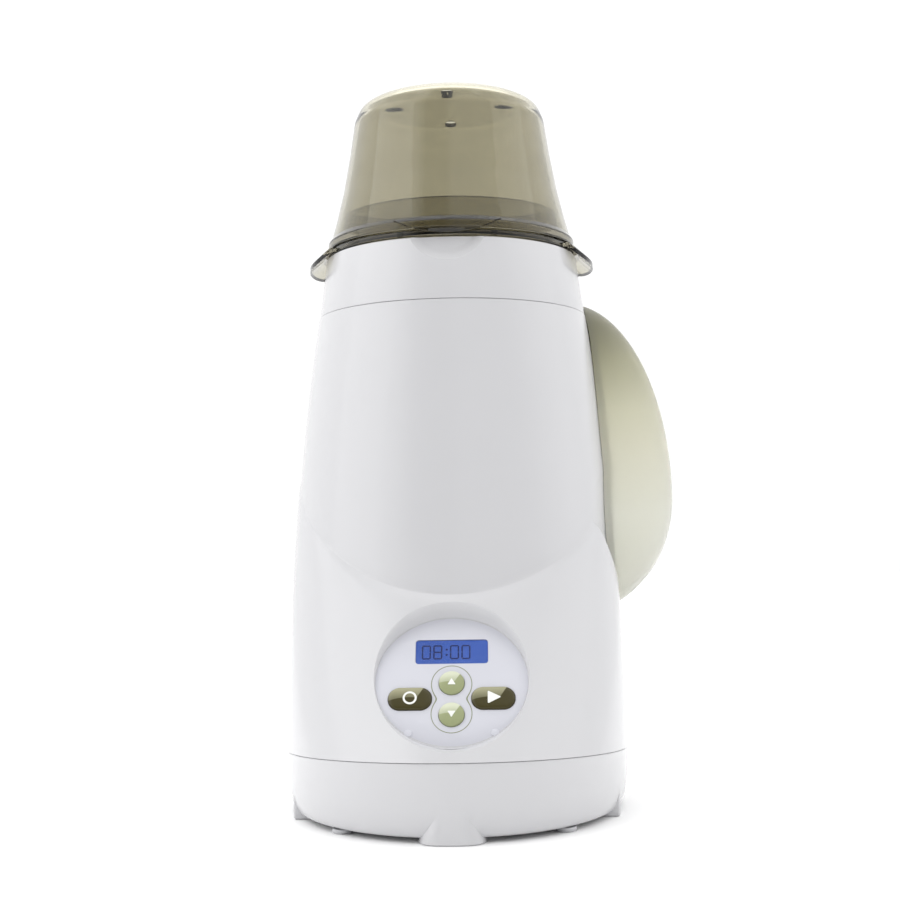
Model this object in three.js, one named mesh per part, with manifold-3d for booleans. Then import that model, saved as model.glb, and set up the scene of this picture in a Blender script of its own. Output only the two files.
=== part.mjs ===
// Countertop steam bottle warmer, millimetres, +Z up, front towards -Y.
// The tower axis is x = y = 0 while modelling; the whole is shifted at the end so
// that the origin is under the middle of its bounding box.

import * as THREE from 'three';
import { mergeVertices } from 'three/addons/utils/BufferGeometryUtils.js';
import Module from 'manifold-3d';

const wasm = await Module();
wasm.setup();

// ---------------------------------------------------------------- driving dimensions

const gap = 0.4;                // between pieces that touch
const wall = 2.4;               // moulded housing wall
const bodySides = 36;           // facets round the housing
const roundSides = 28;          // facets round the chamber, basket and lid
const smallSides = 14;          // facets round small parts

// Housing. The tower meets the sloped apron along a crease, which is a tilted plane
// cut; the apron runs down to an oval base whose seam is a slightly tilted plane.
const collarSeam = 202.6;       // height where the tower meets the collar
const towerTopRadius = 57;
const towerFrontTaper = 0.0521; // radius gained per millimetre down the front
const creaseSide = 141;         // crease height at the two sides
const creaseRise = 53.5;        // how far the crease dips at the front
const creaseRadius = 64.8;      // tower radius at the sides, at crease height
const basePlan = { centreY: -15, halfX: 69.5, halfY: 85 };
const seamPlane = { height: 22.5, slope: 0.065 };
const sideBulge = 0.8;
const frontHollow = 0.6;

// Collar, chamber, basket and lid
const collarTop = 228.5;
const collarBottomRadius = 56.8;
const collarTopRadius = 53.3;
const notch = { depth: 9.3, halfWidth: 14.4 };
const chamberRadius = 44.5;     // inside the straight upper part
const chamberFloor = 70;
const inletBearing = 0.47;      // of the water inlet, from +Y towards +X
const basketFloor = 100;
const basketTop = 231.6;        // top of the basket's flange
const ear = { reach: 61, halfWidth: 24, depth: 11 };
const lidTop = 295.5;
const lidWall = 1.8;
const vent = { radius: 23.9, width: 5, length: 8 };

// Water tank: an egg shape, pointed upwards, cut to fit round the housing
const egg = { x: 50, y: 14, z: 126, halfX: 43.9, halfY: 35, up: 83, down: 50.5 };
const pocket = { x: 50, y: 12, z: 120, halfX: 46, halfY: 45.8, up: 95, down: 45 };
const tankWall = 2.2;
const tankGap = 0.7;
const tipRelief = 1.3;          // keeps the tank's tip clear of the basket's ear as it lifts

// The tank's neck points down a dock that leans outwards, along its lifting line
const dock = { x: 49, y: 14, z: 72, lean: THREE.MathUtils.degToRad(12) };
const dockFloorTop = 12.4;      // along the dock axis, top of the housing's dock floor
const spineRadius = 10;
const neck = { outer: 6, inner: 4.7, end: 5 };
const capRadius = 7.5;

// Control panel, in its own plane on the sloped apron
const panelLean = THREE.MathUtils.degToRad(57.7);
const panelPlace = { y: -76.2, z: 56.6 };
const panel = { halfWidth: 27.9, halfHeight: 25, thick: 1.6 };
const display = { v: 11.2, width: 27.2, height: 10.5 };
const roundButton = { radius: 4.9, up: -1.8, down: -14.6 };
const pillButton = { u: 15.4, v: -8.1, width: 16.1, height: 9 };
const buttonTravel = 1;
const switchTop = -7.7;
const boardFace = -12;          // control board's front face, along the panel's normal

// Base
const trayFloor = 2;
const trayFloorTop = 4.4;
const noseLeg = { y: -88, radius: 12.3, topRadius: 9, height: 18 };
const sideLeg = { x: 60.9, y: -40, width: 9, depth: 14, height: 20 };
const footRadius = 4;
const footSpots = [[-41.5, -73], [41.5, -73], [-28, 54], [28, 54]];
const screwSpots = [[-46, -56], [46, -56], [-37.2, 41.8], [37.2, 41.8]];
const screw = { head: 3.2, shank: 1.5, clearance: 1.9 };
const bushing = { z: 40, radius: 5, flange: 7.5, back: 72.8 };
const powerBoard = { y: -36, z: 12, width: 62, depth: 40, thick: 1.6 };

// ---------------------------------------------------------------- solids

function withoutFlatTriangles(index) {
  const kept = [];
  for (let i = 0; i < index.length; i += 3) {
    const [a, b, c] = [index[i], index[i + 1], index[i + 2]];
    if (a !== b && b !== c && c !== a) {
      kept.push(a, b, c);
    }
  }
  return kept;
}

function enclosedVolume(points, index) {
  const [a, b, c] = [new THREE.Vector3(), new THREE.Vector3(), new THREE.Vector3()];
  let total = 0;
  for (let i = 0; i < index.length; i += 3) {
    a.fromBufferAttribute(points, index[i]);
    b.fromBufferAttribute(points, index[i + 1]);
    c.fromBufferAttribute(points, index[i + 2]);
    total += a.dot(b.cross(c)) / 6;
  }
  return total;
}

function solid(geometry, matrix = new THREE.Matrix4()) {
  const bare = geometry.clone().applyMatrix4(matrix);
  bare.deleteAttribute('normal');
  bare.deleteAttribute('uv');
  const merged = mergeVertices(bare, 1e-4);
  const points = merged.getAttribute('position');
  const index = withoutFlatTriangles(merged.getIndex().array);
  if (enclosedVolume(points, index) < 0) {
    index.reverse();
  }
  return new wasm.Manifold(new wasm.Mesh({
    numProp: 3,
    vertProperties: new Float32Array(points.array),
    triVerts: new Uint32Array(index),
  }));
}

function geometryOf(shape) {
  const mesh = shape.getMesh();
  const geometry = new THREE.BufferGeometry();
  geometry.setAttribute('position', new THREE.BufferAttribute(mesh.vertProperties, 3));
  geometry.setIndex(new THREE.BufferAttribute(mesh.triVerts, 1));
  geometry.computeVertexNormals();
  return geometry;
}

function box(width, depth, height, x, y, z) {
  return new THREE.BoxGeometry(width, depth, height).translate(x, y, z);
}

// An upright cylinder or cone from one height to another
function post(radius, bottom, top, x = 0, y = 0, sides = smallSides, topRadius = radius) {
  return new THREE.CylinderGeometry(topRadius, radius, top - bottom, sides)
    .rotateX(Math.PI / 2)
    .translate(x, y, (bottom + top) / 2);
}

// Revolves [radius, height] points about the vertical axis; the profile closes on itself
function revolve(profile, sides = roundSides) {
  const points = profile.map(([radius, height]) => new THREE.Vector2(radius, height));
  if (profile[0][0] > 0 || profile.at(-1)[0] > 0) {
    points.push(points[0].clone());
  }
  return new THREE.LatheGeometry(points, sides).rotateX(Math.PI / 2);
}

function ring(inner, outer, bottom, top, sides = smallSides) {
  return revolve([[inner, bottom], [outer, bottom], [outer, top], [inner, top]], sides);
}

function ovalShape(halfWidth, halfHeight, u = 0, v = 0) {
  return new THREE.Shape().absellipse(u, v, halfWidth, halfHeight, 0, 2 * Math.PI);
}

function roundedRectangle(width, height, radius, u = 0, v = 0) {
  const [x, y] = [width / 2 - radius, height / 2 - radius];
  const shape = new THREE.Shape();
  shape.absarc(u + x, v + y, radius, 0, Math.PI / 2);
  shape.absarc(u - x, v + y, radius, Math.PI / 2, Math.PI);
  shape.absarc(u - x, v - y, radius, Math.PI, 1.5 * Math.PI);
  shape.absarc(u + x, v - y, radius, 1.5 * Math.PI, 2 * Math.PI);
  return shape;
}

function prism(shape, bottom, top, curveSegments = 5) {
  const settings = { depth: top - bottom, bevelEnabled: false, curveSegments };
  return new THREE.ExtrudeGeometry(shape, settings).translate(0, 0, bottom);
}

function tube(curve, radius, steps, sides = 8) {
  const section = new THREE.Shape();
  for (let i = 0; i < sides; i += 1) {
    const angle = (2 * Math.PI * i) / sides;
    const [x, y] = [radius * Math.cos(angle), radius * Math.sin(angle)];
    if (i === 0) {
      section.moveTo(x, y);
    } else {
      section.lineTo(x, y);
    }
  }
  return new THREE.ExtrudeGeometry(section, { steps, extrudePath: curve, bevelEnabled: false });
}

// Joins rings of points, lowest first, each running counterclockwise seen from above
function loft(rings) {
  const count = rings[0].length;
  const middles = [rings[0], rings.at(-1)].map((points) => {
    const middle = new THREE.Vector3();
    points.forEach((point) => middle.addScaledVector(point, 1 / count));
    return middle;
  });
  const points = [...rings.flat(), ...middles];
  const [lowMiddle, highMiddle] = [points.length - 2, points.length - 1];
  const lastRing = (rings.length - 1) * count;
  const index = [];
  for (let i = 0; i < count; i += 1) {
    const next = (i + 1) % count;
    index.push(lowMiddle, next, i, highMiddle, lastRing + i, lastRing + next);
    for (let row = 0; row < lastRing; row += count) {
      index.push(row + i, row + next, row + count + next);
      index.push(row + i, row + count + next, row + count + i);
    }
  }
  const geometry = new THREE.BufferGeometry().setFromPoints(points);
  geometry.setIndex(index);
  return geometry;
}

function eggShape(size, grow = 0, sides = 20, rows = 12) {
  const geometry = new THREE.SphereGeometry(1, sides, rows).rotateX(Math.PI / 2);
  const points = geometry.getAttribute('position');
  for (let i = 0; i < points.count; i += 1) {
    const reach = points.getZ(i) > 0 ? size.up : size.down;
    points.setXYZ(
      i,
      size.x + points.getX(i) * (size.halfX + grow),
      size.y + points.getY(i) * (size.halfY + grow),
      size.z + points.getZ(i) * (reach + grow),
    );
  }
  return geometry;
}

// ---------------------------------------------------------------- pieces and frames

const assembly = new THREE.Group();
const dockFrame = new THREE.Group();
dockFrame.position.set(dock.x, dock.y, dock.z);
dockFrame.rotation.y = dock.lean;
dockFrame.updateMatrix();
const panelFrame = new THREE.Group();
panelFrame.position.set(0, panelPlace.y, panelPlace.z);
panelFrame.rotation.x = panelLean;
panelFrame.updateMatrix();
assembly.add(dockFrame, panelFrame);

function finish(color, roughness, metalness = 0) {
  return new THREE.MeshStandardMaterial({ color, roughness, metalness });
}

const finishes = {
  glossWhite: finish(0xe9e9ec, 0.18),
  smoky: finish(0x8f8a74, 0.12),
  frosted: finish(0xc9c8b2, 0.4),
  fascia: finish(0xd6d7de, 0.4),
  olive: finish(0x4a4420, 0.3),
  sage: finish(0xa9ad84, 0.3),
  lens: finish(0x3f62b8, 0.1),
  displayBlue: finish(0x4a6bc0, 0.5),
  steel: finish(0xb8bcc0, 0.3, 1),
  aluminium: finish(0xaeb2b5, 0.35, 1),
  silicone: finish(0xd8d6cf, 0.7),
  darkRubber: finish(0x3a3b3d, 0.85),
  board: finish(0x2f6b43, 0.5),
  blackPlastic: finish(0x1e1f22, 0.5),
  yellowTape: finish(0xd8b43c, 0.6),
  relayBlue: finish(0x2e6fae, 0.4),
};

function piece(name, shape, material, frame = assembly) {
  const mesh = new THREE.Mesh(geometryOf(shape), material);
  mesh.name = name;
  frame.add(mesh);
  return mesh;
}

// ---------------------------------------------------------------- housing surface

function basePlanRadius(bearing) {
  const across = Math.sin(bearing) / basePlan.halfX;
  const along = -Math.cos(bearing) / basePlan.halfY;
  const start = -basePlan.centreY / basePlan.halfY;
  const square = across * across + along * along;
  const half = along * start;
  return (-half + Math.sqrt(half * half - square * (start * start - 1))) / square;
}

function sideRadius(z) {
  const rise = z - creaseSide;
  return creaseRadius - 0.0929 * rise - 0.000527 * rise * rise;
}

function towerRadius(bearing, z) {
  const frontness = Math.max(0, Math.cos(bearing)) ** 2;
  const frontRadius = towerTopRadius + (collarSeam - z) * towerFrontTaper;
  return frontness * frontRadius + (1 - frontness) * sideRadius(z);
}

function creaseHeight(bearing) {
  return creaseSide - creaseRise * Math.cos(bearing);
}

function seamHeight(bearing, radius) {
  return seamPlane.height + seamPlane.slope * radius * Math.cos(bearing);
}

function around(bearing, radius, z) {
  return new THREE.Vector3(radius * Math.sin(bearing), -radius * Math.cos(bearing), z);
}

// Radius of the housing at a height, on the tower or on the apron below the crease
function housingRadius(bearing, z) {
  const crease = creaseHeight(bearing);
  if (z >= crease) {
    return towerRadius(bearing, z);
  }
  const base = basePlanRadius(bearing);
  const down = (crease - z) / (crease - seamHeight(bearing, base));
  const top = towerRadius(bearing, crease);
  const frontness = Math.max(0, Math.cos(bearing)) ** 2;
  const bow = sideBulge * Math.sin(bearing) ** 2 - frontHollow * frontness;
  return top + (base - top) * down + bow * 4 * down * (1 - down);
}

function bearings(count) {
  return Array.from({ length: count }, (_, i) => (2 * Math.PI * i) / count);
}

// The housing as a closed solid, pulled in by an inset, and run on past both ends
function housingSolid(inset, past, lowerRows = 3, upperRows = 3) {
  const rings = [];
  for (let row = 0; row <= lowerRows + upperRows; row += 1) {
    rings.push(bearings(bodySides).map((bearing) => {
      const seam = seamHeight(bearing, basePlanRadius(bearing));
      const crease = creaseHeight(bearing);
      const z = row <= lowerRows
        ? THREE.MathUtils.lerp(seam, crease, row / lowerRows)
        : THREE.MathUtils.lerp(crease, collarSeam, (row - lowerRows) / upperRows);
      return around(bearing, housingRadius(bearing, z) - inset, z);
    }));
  }
  rings[0].forEach((point) => { point.z += gap / 2; });
  if (past > 0) {
    const below = rings[0].map((point) => point.clone().setZ(point.z - past));
    const above = rings.at(-1).map((point) => point.clone().setZ(point.z + past));
    return loft([below, ...rings, above]);
  }
  return loft(rings);
}

// What the tank has to stay clear of: the housing, no wider than the pocket's back
function tankLimit(grow, top = 214) {
  const heights = [70, 88, 112, creaseSide, 172, collarSeam, top];
  return loft(heights.map((z) => bearings(bodySides).map((bearing) => {
    const radius = z > collarSeam ? collarRadius(z) + tipRelief : housingRadius(bearing, z);
    return around(bearing, Math.min(radius, creaseRadius) + grow, z);
  })));
}

function collarRadius(z) {
  const share = (z - collarSeam) / (collarTop - collarSeam);
  return THREE.MathUtils.lerp(collarBottomRadius, collarTopRadius, share);
}

// The pocket is cut only from the flared part, outside the tower's own surface
function pocketCut(grow) {
  const back = revolve([
    [0, 30],
    [creaseRadius - grow, 30],
    [creaseRadius - grow, creaseSide],
    [120, creaseSide],
    [120, 230],
    [0, 230],
  ], bodySides);
  return solid(eggShape(pocket, grow)).subtract(solid(back));
}

function alongDock(geometry) {
  return solid(geometry, dockFrame.matrix);
}

function inPanel(geometry) {
  return solid(geometry, panelFrame.matrix);
}

// ---------------------------------------------------------------- housing pieces

function bodyShell() {
  const recessFloor = -panel.thick - 0.3;
  const grooveTop = 140;
  const outer = solid(housingSolid(0, 0))
    .subtract(pocketCut(0))
    .subtract(alongDock(post(spineRadius + 1, dockFloorTop, grooveTop, 0, 0, 20)))
    .subtract(inPanel(prism(ovalShape(panel.halfWidth + 0.4, panel.halfHeight + 0.4), recessFloor, 30, 10)));
  const inner = solid(housingSolid(wall + 0.3, 4))
    .subtract(pocketCut(wall))
    .subtract(alongDock(post(spineRadius + 1 + wall, dockFloorTop - wall, grooveTop, 0, 0, 20)))
    .subtract(inPanel(prism(
      ovalShape(panel.halfWidth + 0.4 + wall, panel.halfHeight + 0.4 + wall), recessFloor - 2.2, 30, 10,
    )));
  let shell = outer.subtract(inner);
  for (const [x, y] of screwSpots) {
    const outward = new THREE.Matrix4().makeRotationZ(Math.atan2(y, x));
    const web = solid(box(16, 3, 38, Math.hypot(x, y) + 6, 0, 53), outward);
    const column = solid(post(4.3, trayFloorTop + 5.5, 72, x, y)).add(web).intersect(outer);
    shell = shell.add(column).subtract(solid(post(screw.clearance, 5, 30, x, y, 12)));
  }
  for (const side of [-1, 1]) {
    const boss = inPanel(post(2.6, boardFace + 0.3, recessFloor - 1, 23 * side, 4, 14));
    shell = shell.add(boss).subtract(inPanel(post(1.5, -16, recessFloor - 2, 23 * side, 4, 10)));
  }
  shell = shell.subtract(alongDock(post(capRadius + 0.9, 5, 20, 0, 0, 20)));
  shell = shell.subtract(inPanel(prism(roundedRectangle(25, 8.5, 0.8, 0, display.v), -8, 0)));
  for (const { u, v } of buttonSpots()) {
    shell = shell.subtract(inPanel(post(3, -8, 0, u, v, 16)));
  }
  const inlet = new THREE.CylinderGeometry(bushing.radius + 0.4, bushing.radius + 0.4, 20, smallSides)
    .translate(0, 70, bushing.z);
  return shell.subtract(solid(inlet));
}

function topCollar() {
  const spigot = { inner: 52, outer: 53.7, bottom: 197 };
  const collar = solid(revolve([
    [spigot.outer, spigot.bottom],
    [spigot.outer, collarSeam + gap],
    [collarBottomRadius, collarSeam + gap],
    [collarTopRadius + 0.1, collarTop - 0.6],
    [collarTopRadius - 0.5, collarTop],
    [50.6, collarTop],
    [50.6, 225],
    [47.2, 225],
    [47.2, 222.6],
    [spigot.inner, 217.5],
    [spigot.inner, spigot.bottom],
  ], bodySides));
  const scoopRadius = (notch.halfWidth ** 2 + notch.depth ** 2) / (2 * notch.depth);
  const scoop = new THREE.CylinderGeometry(scoopRadius, scoopRadius, 20, 32)
    .translate(0, -50.9 - 10, collarTop - notch.depth + scoopRadius);
  const tip = solid(eggShape(egg, 1.5)).subtract(solid(post(55.5, 60, 240, 0, 0, bodySides)));
  return collar.subtract(solid(scoop)).subtract(tip);
}

function trayRing(inset, heightAt) {
  return bearings(bodySides).map((bearing) => {
    const radius = basePlanRadius(bearing);
    return around(bearing, radius - inset, heightAt(seamHeight(bearing, radius)));
  });
}

function baseTray() {
  const outer = loft([
    trayRing(4.6, () => trayFloor),
    trayRing(3, () => 3.2),
    trayRing(1.5, () => 7),
    trayRing(0.4, () => 14),
    trayRing(0, (seam) => seam - gap / 2),
    trayRing(3.1, (seam) => seam - gap / 2),
    trayRing(4.7, (seam) => seam + 2.2),
  ]);
  const inner = loft([
    trayRing(7.2, () => trayFloorTop),
    trayRing(5.4, () => 9),
    trayRing(6.2, (seam) => seam + 4),
  ]);
  let tray = solid(outer)
    .add(solid(post(noseLeg.radius, 0, noseLeg.height, 0, noseLeg.y, roundSides, noseLeg.topRadius)));
  for (const side of [-1, 1]) {
    const { x, y, width, depth, height } = sideLeg;
    tray = tray.add(solid(box(width, depth, height, x * side, y, height / 2)));
  }
  tray = tray.subtract(solid(inner));
  for (const [x, y] of screwSpots) {
    tray = tray.add(solid(post(6, trayFloor, trayFloorTop + 5, x, y)))
      .subtract(solid(post(screw.head + 0.4, 0, 6.4, x, y)))
      .subtract(solid(post(screw.clearance, 0, 12, x, y, 12)));
  }
  for (const side of [-1, 1]) {
    tray = tray.add(solid(post(3, trayFloorTop - 1, powerBoard.z - 0.3, side * 26, powerBoard.y, 14)))
      .subtract(solid(post(1.5, trayFloorTop + 1, 20, side * 26, powerBoard.y, 10)));
  }
  return tray;
}

function cordBushing() {
  const along = new THREE.Matrix4().makeRotationX(-Math.PI / 2).setPosition(0, 0, bushing.z);
  return solid(revolve([
    [3.2, 62],
    [bushing.radius, 62],
    [bushing.radius, 70.2],
    [bushing.flange, 70.2],
    [bushing.flange - 1, bushing.back],
    [3.2, bushing.back],
  ], smallSides), along);
}

function countersunkScrew(headRadius, shankRadius, headBottom, headTop, tip, sides = 12) {
  return solid(revolve([
    [0, headBottom],
    [headRadius, headBottom],
    [headRadius, headTop],
    [shankRadius, headTop],
    [shankRadius, tip],
    [0, tip],
  ], sides));
}

// ---------------------------------------------------------------- heating chamber

function heatingWell() {
  const thick = 1.5;
  const bore = [
    [36.4, chamberFloor + 2],
    [37, 80],
    [38.6, 98],
    [chamberRadius, 126],
    [chamberRadius, 227],
  ];
  const outside = [
    [chamberRadius + thick, 126],
    [40.1, 98],
    [38.5, 80],
    [38, chamberFloor],
  ];
  const cup = solid(revolve([
    ...bore,
    [50.2, 227],
    [50.2, 225.4],
    [chamberRadius + thick, 225.4],
    ...outside,
    [37.4, chamberFloor - 1.5],
    [30, chamberFloor - 1.5],
    [30, chamberFloor],
    [35.4, chamberFloor],
  ]));
  const nozzle = (radius, from, to) => solid(
    new THREE.CylinderGeometry(radius, radius, to - from, 12)
      .translate(0, (from + to) / 2, 0)
      .rotateZ(-inletBearing)
      .translate(0, 0, 75),
  );
  return cup.add(nozzle(2.4, 37.2, 43)).subtract(nozzle(1.3, 30, 50));
}

function heatingPlate() {
  return solid(revolve([
    [0, 61],
    [35.5, 61],
    [35.5, 66.6],
    [29.5, 66.6],
    [29.5, 69.6],
    [28.5, 70.4],
    [0, 70.4],
  ], roundSides));
}

function heatingElement() {
  const loop = new THREE.Path().absarc(0, 0, 25, 0.3 * Math.PI, 2.2 * Math.PI);
  const points = loop.getSpacedPoints(12).map(({ x, y }) => new THREE.Vector3(x, y, 57.2));
  const curve = new THREE.CatmullRomCurve3(points);
  return solid(tube(curve, 3.2, 28, 8));
}

function thermostat() {
  const blade = (x) => solid(box(1, 5, 6, x, 0, 52));
  return solid(post(8, 54, 60.6)).add(blade(-4)).add(blade(4));
}

function thermalFuse() {
  const body = new THREE.CylinderGeometry(2, 2, 12, 10).rotateZ(Math.PI / 2).translate(0, -14, 58);
  return solid(body);
}

function feedTube() {
  const start = new THREE.Vector3(0, 0, -12.6).applyMatrix4(dockFrame.matrix);
  const well = new THREE.Vector3(Math.sin(inletBearing), Math.cos(inletBearing), 0);
  const curve = new THREE.CatmullRomCurve3([
    start,
    start.clone().add(new THREE.Vector3(-0.9, 0, -4.4)),
    new THREE.Vector3(40, 26, 47),
    new THREE.Vector3(30, 37, 50),
    new THREE.Vector3(24, 45, 62),
    well.clone().multiplyScalar(50).setZ(74),
    well.clone().multiplyScalar(43.4).setZ(75),
  ]);
  return solid(tube(curve, 3, 20, 8));
}

// ---------------------------------------------------------------- dock and tank

function dockSeat() {
  const cup = solid(revolve([
    [0, -8],
    [9.4, -8],
    [9.4, dockFloorTop - wall - gap],
    [capRadius + 0.8, dockFloorTop - wall - gap],
    [capRadius + 0.8, -6],
    [1.5, -6],
    [1.5, -3.4],
    [0, -3.4],
  ], 20));
  return cup
    .add(solid(post(2.4, -12, -7, 0, 0, 12)))
    .subtract(solid(post(1, -14, -6.6, 0, 0, 8)))
    .subtract(solid(box(12, 1.6, 2, 0, 0, -6.4)));
}

function tankBody() {
  const spineTop = 96;
  const shape = solid(eggShape(egg)).subtract(solid(tankLimit(tankGap)));
  const spine = alongDock(post(spineRadius, dockFloorTop + 1.2, spineTop, 0, 0, 20))
    .intersect(solid(eggShape(egg)));
  const outer = shape.add(spine).add(alongDock(post(neck.outer, neck.end, 16, 0, 0, 24)));
  const hollow = solid(eggShape(egg, -tankWall)).subtract(solid(tankLimit(tankGap + tankWall)));
  const spineBottom = dockFloorTop + 1.2 + tankWall;
  const hollowSpine = alongDock(post(spineRadius - tankWall, spineBottom, spineTop - 4, 0, 0, 20))
    .intersect(solid(eggShape(egg, -tankWall)));
  const bore = alongDock(post(neck.inner, 0, 20, 0, 0, 24));
  return outer.subtract(hollow).subtract(hollowSpine).subtract(bore);
}

function tankCap() {
  const top = 12.6;
  let cap = solid(revolve([
    [1.9, 1.5],
    [capRadius - 0.5, 1.5],
    [capRadius, 2],
    [capRadius, top],
    [neck.outer + 0.4, top],
    [neck.outer + 0.4, 3.5],
    [1.9, 3.5],
  ], 20));
  for (let i = 0; i < 8; i += 1) {
    const angle = (Math.PI * i) / 4;
    const [x, y] = [(capRadius + 0.9) * Math.cos(angle), (capRadius + 0.9) * Math.sin(angle)];
    cap = cap.subtract(solid(post(1.5, 0, top - 1, x, y, 6)));
  }
  return cap;
}

function valveStem() {
  return solid(revolve([
    [0, -3.1],
    [2.9, -3.1],
    [2.9, -2],
    [1.2, -2],
    [1.2, 6.9],
    [3.7, 6.9],
    [3.7, 8],
    [1.2, 8.6],
    [0, 8.6],
  ], 16));
}

class Coil extends THREE.Curve {
  constructor(radius, bottom, height, turns) {
    super();
    Object.assign(this, { radius, bottom, height, turns });
  }

  getPoint(t, target = new THREE.Vector3()) {
    const angle = 2 * Math.PI * this.turns * t;
    return target.set(
      this.radius * Math.cos(angle),
      this.radius * Math.sin(angle),
      this.bottom + this.height * t,
    );
  }
}

// ---------------------------------------------------------------- basket and lid

function basket() {
  const cup = solid(revolve([
    [0, basketFloor],
    [36.9, basketFloor],
    [37.6, basketFloor + 1],
    [43.4, 128],
    [43.4, basketTop - 2.6],
    [52.6, basketTop - 2.6],
    [52.6, basketTop],
    [46.4, basketTop],
    [46.2, 246],
    [44.6, 246],
    [44.4, basketTop],
    [41.8, basketTop - 3],
    [41.8, 128.5],
    [36.2, basketFloor + 2],
    [0, basketFloor + 2],
  ]));
  const earBand = solid(revolve([
    [50, basketTop - 2.4],
    [54.3, basketTop - 2.4],
    [61.9, 222.7],
    [62.8, 223.6],
    [55, basketTop - 0.6],
    [50, basketTop - 0.6],
  ]));
  let shape = cup;
  for (const side of [-1, 1]) {
    const oval = ovalShape(ear.depth, ear.halfWidth, (ear.reach - ear.depth) * side);
    shape = shape.add(solid(prism(oval, 215, 235, 10)).intersect(earBand));
  }
  for (let i = 0; i < 6; i += 1) {
    const turn = new THREE.Matrix4().makeRotationZ((Math.PI * (i + 0.5)) / 3);
    shape = shape.subtract(solid(box(10, 6, 36, 42.5, 0, 152), turn))
      .subtract(solid(post(4, basketFloor - 2, basketFloor + 4, 22, 0, 12), turn));
  }
  return shape.subtract(solid(post(7, basketFloor - 2, basketFloor + 4)));
}

const lidOutline = [
  [52.8, 232],
  [52.8, 235.3],
  [51.4, 237],
  [49.2, 245],
  [46.1, 258],
  [43.2, 274],
  [40.9, 287.5],
  [38.4, 292.4],
  [33, 295],
];

function lid() {
  const inside = lidOutline.slice(2, -1).map(([radius, z]) => [radius - lidWall, z - 0.7]);
  const shell = solid(revolve([
    [51, 232],
    ...lidOutline,
    [0, lidTop],
    [0, lidTop - lidWall],
    [33, 295 - lidWall],
    ...inside.reverse(),
    [50.2, 235],
  ]));
  const lipBand = solid(revolve([
    [53.2, 229.7],
    [54.8, 229.9],
    [55.2, 234.6],
    [54.2, 236],
    [52, 236],
    [52, 232.6],
    [53.2, 232.6],
  ], 32));
  const lipRadius = 40.4;
  const smile = new THREE.CylinderGeometry(lipRadius, lipRadius, 30, 48)
    .translate(0, -50, 229.7 + lipRadius);
  let shape = shell.add(lipBand.intersect(solid(smile)));
  for (let i = 0; i < 4; i += 1) {
    const turn = new THREE.Matrix4().makeRotationZ((Math.PI * i) / 2);
    const slot = roundedRectangle(vent.length, vent.width, 2.4, vent.radius, 0);
    shape = shape.subtract(solid(prism(slot, lidTop - 6, lidTop + 4, 3), turn));
  }
  return shape;
}

// ---------------------------------------------------------------- control panel

function buttonSpots() {
  return [
    { name: 'button_up', u: 0, v: roundButton.up },
    { name: 'button_down', u: 0, v: roundButton.down },
    { name: 'button_stop', u: -pillButton.u, v: pillButton.v, pill: true },
    { name: 'button_start', u: pillButton.u, v: pillButton.v, pill: true },
  ];
}

function pillShape(grow, u, v) {
  const height = pillButton.height + 2 * grow;
  return roundedRectangle(pillButton.width + 2 * grow, height, height / 2 - 0.01, u, v);
}

function panelFace() {
  let face = solid(prism(ovalShape(panel.halfWidth, panel.halfHeight), -panel.thick, 0, 10));
  const window = roundedRectangle(display.width + 0.7, display.height + 0.7, 1, 0, display.v);
  face = face.subtract(solid(prism(window, -4, 4)));
  for (const { u, v, pill } of buttonSpots()) {
    const holeRadius = roundButton.radius + 0.35;
    const hole = pill ? pillShape(0.35, u, v) : ovalShape(holeRadius, holeRadius, u, v);
    face = face.subtract(solid(prism(hole, -4, 4, pill ? 3 : 6)));
  }
  return face;
}

function button({ u, v, pill }) {
  const cap = pill
    ? solid(prism(pillShape(0, u, v), -0.7, 0.6, 3)).add(solid(prism(pillShape(-0.8, u, v), 0, 1.1, 3)))
    : solid(revolve([
      [0, -0.7],
      [roundButton.radius, -0.7],
      [roundButton.radius, 0.5],
      [3.6, 1],
      [0, 1.3],
    ], 16), new THREE.Matrix4().makeTranslation(u, v, 0));
  return cap.add(solid(post(2.3, switchTop + buttonTravel + 0.3, 0, u, v, 14)));
}

function tactSwitch({ u, v }) {
  const bottom = boardFace + 0.3;
  return solid(box(6, 6, 3.4, u, v, bottom + 1.7)).add(solid(post(1.7, bottom + 3, switchTop, u, v, 12)));
}

function controlBoard() {
  let board = solid(prism(roundedRectangle(54, 40, 3, 0, -1), boardFace - 1.6, boardFace));
  for (const side of [-1, 1]) {
    board = board.subtract(solid(post(1.5, -20, 0, 23 * side, 4, 10)));
  }
  return board;
}

// ---------------------------------------------------------------- assembly

piece('body_shell', bodyShell(), finishes.glossWhite);
piece('top_collar', topCollar(), finishes.glossWhite);
piece('base_tray', baseTray(), finishes.glossWhite);
piece('cord_bushing', cordBushing(), finishes.darkRubber);
footSpots.forEach(([x, y], i) => {
  piece(`rubber_foot_${i + 1}`, solid(post(footRadius, 0, trayFloor - 0.3, x, y)), finishes.darkRubber);
});
screwSpots.forEach(([x, y], i) => {
  const base = countersunkScrew(screw.head, screw.shank, 3.4, 6, 22);
  piece(`base_screw_${i + 1}`, base, finishes.steel).position.set(x, y, 0);
});

piece('heating_well', heatingWell(), finishes.aluminium);
piece('well_gasket', solid(ring(30.4, 35.6, 67, 68.1, roundSides)), finishes.silicone);
piece('heating_plate', heatingPlate(), finishes.aluminium);
piece('heating_element', heatingElement(), finishes.steel);
piece('thermostat', thermostat(), finishes.blackPlastic);
piece('thermal_fuse', thermalFuse(), finishes.silicone);
piece('feed_tube', feedTube(), finishes.silicone);

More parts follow.
